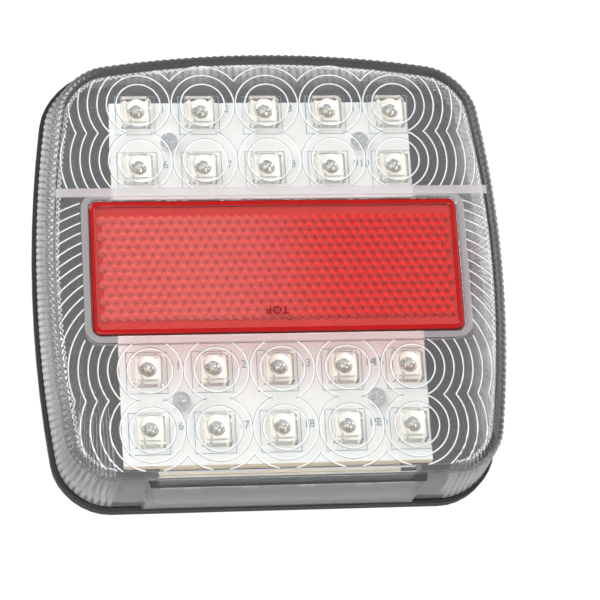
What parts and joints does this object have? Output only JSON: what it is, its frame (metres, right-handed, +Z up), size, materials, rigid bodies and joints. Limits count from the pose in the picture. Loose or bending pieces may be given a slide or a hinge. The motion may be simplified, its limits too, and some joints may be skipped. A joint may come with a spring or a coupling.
{
  "type": "trailer tail light",
  "caption": "Square trailer tail light: clear lens with ring optics over an LED board, red reflex reflector, number plate window, flat back with mounting studs",
  "frame": {"origin": "centre of the flat rear face of the housing, midway between the two studs", "axes": "+Z up as mounted, X across the lamp, -Y out of the lens, +Y into the vehicle along the studs"},
  "size_m": [0.107, 0.0455, 0.108],
  "materials": {
    "black_plastic": "black ABS with a fine moulded grain",
    "clear_plastic": "clear PMMA with ring optics and fluted sides",
    "red_plastic": "red PMMA over a prism field",
    "circuit_board": "glass fibre board with a white solder mask",
    "clear_resin": "clear epoxy over a metal lead frame",
    "white_led": "white body with a yellow phosphor",
    "zinc_steel": "bright zinc plate",
    "pin_brass": "bright",
    "resistor_body": "lacquered",
    "black_resin": "moulded epoxy",
    "white_nylon": "natural nylon",
    "sealing_rubber": "soft black rubber"
  },
  "bodies": {
    "root": {"rear_housing": "black_plastic", "lens_seal": "sealing_rubber", "front_lens": "clear_plastic", "reflector": "red_plastic", "main_board": "circuit_board", "led_1": "clear_resin", "led_2": "clear_resin", "led_3": "clear_resin", "led_4": "clear_resin", "led_5": "clear_resin", "led_6": "clear_resin", "led_7": "clear_resin", "led_8": "clear_resin", "led_9": "clear_resin", "led_10": "clear_resin", "led_11": "clear_resin", "led_12": "clear_resin", "led_13": "clear_resin", "led_14": "clear_resin", "led_15": "clear_resin", "led_16": "clear_resin", "led_17": "clear_resin", "led_18": "clear_resin", "led_19": "clear_resin", "led_20": "clear_resin", "board_screws": "zinc_steel", "plate_light_board": "circuit_board", "plate_led_1": "white_led", "plate_led_2": "white_led", "plate_led_3": "white_led", "plate_led_4": "white_led", "board_link_pins": "pin_brass", "resistors": "resistor_body", "diodes": "black_resin", "cable_connector": "white_nylon", "mounting_stud_left": "zinc_steel", "mounting_stud_right": "zinc_steel", "stud_o_ring_left": "sealing_rubber", "stud_o_ring_right": "sealing_rubber", "cable_grommet": "sealing_rubber"}
  },
  "joints": []
}
